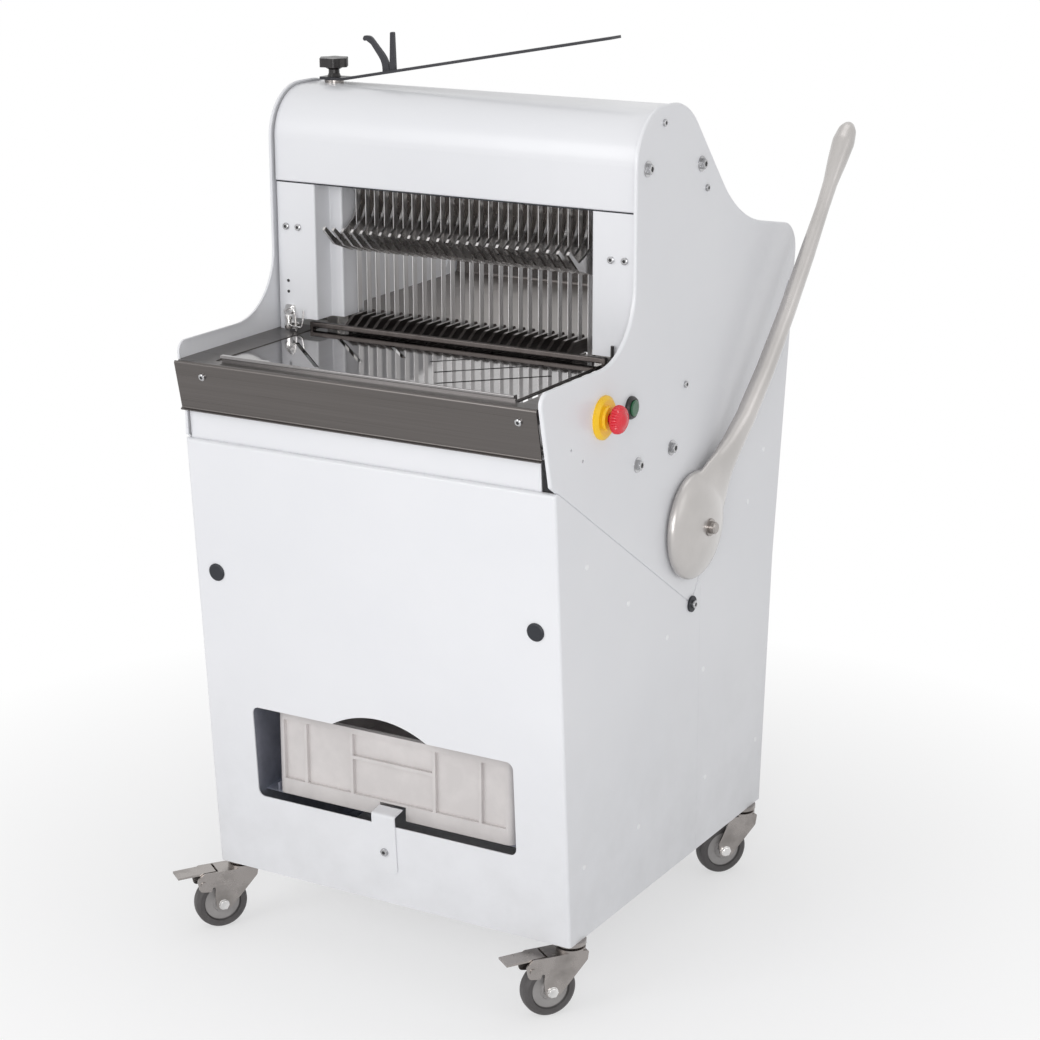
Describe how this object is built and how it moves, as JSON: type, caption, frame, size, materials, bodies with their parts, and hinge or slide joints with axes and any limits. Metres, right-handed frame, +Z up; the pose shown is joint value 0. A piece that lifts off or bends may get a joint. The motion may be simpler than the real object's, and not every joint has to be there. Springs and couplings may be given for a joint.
{
  "type": "bakery bread slicer",
  "caption": "Floor-standing bread slicer on castors with a side feed lever, comb-held loading table, reciprocating blade frames and a crumb crate.",
  "frame": {"origin": "on the floor, under the middle of the cabinet's width and of its base's depth", "axes": "+X to the machine's right, where the lever is; +Y from the loading side to the back; +Z up"},
  "size_m": [0.71, 0.8882, 1.3261],
  "materials": {
    "white_paint": "smooth white powder coat",
    "zinc_steel": "zinc plated, satin",
    "black_rubber": "matte",
    "stainless": "brushed and polished stainless",
    "bright_chrome": "bright plated",
    "frame_alloy": "satin",
    "motor_alloy": "painted grey",
    "iron": "machined faces, cast body",
    "shaft_steel": "ground",
    "lever_alloy": "warm grey paint",
    "yellow_plastic": "gloss",
    "red_plastic": "gloss",
    "black_plastic": "matte",
    "green_plastic": "gloss",
    "dark_paint": "satin dark grey",
    "crate_plastic": "matte ivory",
    "grey_rubber": "matte grey"
  },
  "bodies": {
    "machine": {"base_plate": "white_paint", "front_shell": "white_paint", "rear_shell": "white_paint", "front_rail": "white_paint", "shell_rivets": "zinc_steel", "seam_washers": "black_rubber", "panel_plugs": "black_rubber", "side_plate_right": "white_paint", "side_plate_left": "white_paint", "tie_bars_and_bolts": "zinc_steel", "hood_cover": "white_paint", "jamb_right": "white_paint", "jamb_left": "white_paint", "infeed_tray": "stainless", "table_plate": "stainless", "blade_comb": "stainless", "tray_catch": "bright_chrome", "outfeed_tray": "stainless", "crate_clip": "white_paint", "frame_guides": "zinc_steel", "drive_belt": "black_rubber", "bearing_channels": "white_paint", "crank_bearings": "iron", "motor": "motor_alloy", "motor_bracket": "white_paint", "lever_bushes": "zinc_steel", "carriage_rails": "zinc_steel", "stop_collar": "yellow_plastic", "start_collar": "black_plastic", "bag_pivot": "zinc_steel", "crate_runners": "zinc_steel", "cover_screws": "zinc_steel", "castor_heads": "zinc_steel"},
    "front_frame": {"blade_frame_front": "frame_alloy", "front_blades": "stainless"},
    "back_frame": {"blade_frame_back": "frame_alloy", "back_blades": "stainless"},
    "crank": {"crankshaft": "shaft_steel", "crank_pulley": "iron"},
    "motor_drive": {"motor_pulley": "iron"},
    "comb": {"hold_down_comb": "bright_chrome"},
    "lever": {"feed_lever": "lever_alloy", "lever_shaft": "zinc_steel"},
    "pusher": {"pusher_carriage": "frame_alloy", "pusher_comb": "frame_alloy"},
    "stop": {"stop_button": "red_plastic"},
    "start": {"start_button": "green_plastic"},
    "bag_holder": {"bag_arm": "dark_paint"},
    "knob": {"star_knob": "black_plastic"},
    "crate": {"crumb_crate": "crate_plastic"},
    "castor_front_left": {"castor_fork_front_left": "zinc_steel"},
    "wheel_front_left": {"castor_wheel_front_left": "grey_rubber"},
    "brake_front_left": {"brake_pedal_front_left": "zinc_steel"},
    "castor_front_right": {"castor_fork_front_right": "zinc_steel"},
    "wheel_front_right": {"castor_wheel_front_right": "grey_rubber"},
    "brake_front_right": {"brake_pedal_front_right": "zinc_steel"},
    "castor_back_left": {"castor_fork_back_left": "zinc_steel"},
    "wheel_back_left": {"castor_wheel_back_left": "grey_rubber"},
    "castor_back_right": {"castor_fork_back_right": "zinc_steel"},
    "wheel_back_right": {"castor_wheel_back_right": "grey_rubber"}
  },
  "joints": [
    {"name": "lever_swing", "type": "hinge", "parent": "machine", "child": "lever", "pos_m": [0, 0.042, 0.632], "axis": [1, 0, 0], "range_deg": [0, 70]},
    {"name": "carriage_slide", "type": "slide", "parent": "machine", "child": "pusher", "axis": [0, 1, 0], "range_m": [-0.218, 0]},
    {"name": "crank_turn", "type": "hinge", "parent": "machine", "child": "crank", "pos_m": [0, -0.062, 0.6], "axis": [1, 0, 0], "range_deg": [-50, 50]},
    {"name": "front_frame_slide", "type": "slide", "parent": "machine", "child": "front_frame", "axis": [0, 0, 1], "range_m": [-0.0158, 0.0158]},
    {"name": "back_frame_slide", "type": "slide", "parent": "machine", "child": "back_frame", "axis": [0, 0, 1], "range_m": [-0.0158, 0.0158]},
    {"name": "motor_spin", "type": "hinge", "parent": "machine", "child": "motor_drive", "pos_m": [0.182, 0.19, 0.3], "axis": [1, 0, 0], "range_deg": [-133.5, 133.5]},
    {"name": "comb_lift", "type": "hinge", "parent": "machine", "child": "comb", "pos_m": [0, -0.03, 1.128], "axis": [1, 0, 0], "range_deg": [-20, 0]},
    {"name": "stop_push", "type": "slide", "parent": "machine", "child": "stop", "axis": [-1, 0, 0], "range_m": [0, 0.004], "stiffness_N_per_m": 800},
    {"name": "start_push", "type": "slide", "parent": "machine", "child": "start", "axis": [-1, 0, 0], "range_m": [0, 0.002], "stiffness_N_per_m": 600},
    {"name": "bag_arm_swing", "type": "hinge", "parent": "machine", "child": "bag_holder", "pos_m": [-0.262, -0.014, 1.241], "axis": [0, 0, 1], "range_deg": [0, 90]},
    {"name": "knob_turn", "type": "hinge", "parent": "machine", "child": "knob", "pos_m": [-0.262, -0.014, 1.25], "axis": [0, 0, 1], "continuous": true},
    {"name": "crate_slide", "type": "slide", "parent": "machine", "child": "crate", "axis": [0, -1, 0], "range_m": [0, 0.28]},
    {"name": "swivel_front_left", "type": "hinge", "parent": "machine", "child": "castor_front_left", "pos_m": [-0.284, -0.276, 0.09], "axis": [0, 0, 1], "continuous": true},
    {"name": "roll_front_left", "type": "hinge", "parent": "castor_front_left", "child": "wheel_front_left", "pos_m": [-0.30516, -0.30512, 0.04], "axis": [0.809, -0.5878, 0], "continuous": true},
    {"name": "brake_press_front_left", "type": "hinge", "parent": "castor_front_left", "child": "brake_front_left", "pos_m": [-0.30046, -0.29865, 0.0865], "axis": [0.809, -0.5878, 0], "range_deg": [0, 10]},
    {"name": "swivel_front_right", "type": "hinge", "parent": "machine", "child": "castor_front_right", "pos_m": [0.284, -0.276, 0.09], "axis": [0, 0, 1], "continuous": true},
    {"name": "roll_front_right", "type": "hinge", "parent": "castor_front_right", "child": "wheel_front_right", "pos_m": [0.26284, -0.30512, 0.04], "axis": [0.809, -0.5878, 0], "continuous": true},
    {"name": "brake_press_front_right", "type": "hinge", "parent": "castor_front_right", "child": "brake_front_right", "pos_m": [0.26754, -0.29865, 0.0865], "axis": [0.809, -0.5878, 0], "range_deg": [0, 10]},
    {"name": "swivel_back_left", "type": "hinge", "parent": "machine", "child": "castor_back_left", "pos_m": [-0.284, 0.276, 0.09], "axis": [0, 0, 1], "continuous": true},
    {"name": "roll_back_left", "type": "hinge", "parent": "castor_back_left", "child": "wheel_back_left", "pos_m": [-0.30516, 0.24688, 0.04], "axis": [0.809, -0.5878, 0], "continuous": true},
    {"name": "swivel_back_right", "type": "hinge", "parent": "machine", "child": "castor_back_right", "pos_m": [0.284, 0.276, 0.09], "axis": [0, 0, 1], "continuous": true},
    {"name": "roll_back_right", "type": "hinge", "parent": "castor_back_right", "child": "wheel_back_right", "pos_m": [0.26284, 0.24688, 0.04], "axis": [0.809, -0.5878, 0], "continuous": true}
  ],
  "couplings": [
    {"joint": "carriage_slide", "follows": "lever_swing", "m_per_rad": -0.17827},
    {"joint": "front_frame_slide", "follows": "crank_turn", "m_per_rad": 0.0181},
    {"joint": "back_frame_slide", "follows": "crank_turn", "m_per_rad": -0.0181},
    {"joint": "motor_spin", "follows": "crank_turn", "ratio": 2.6667}
  ]
}
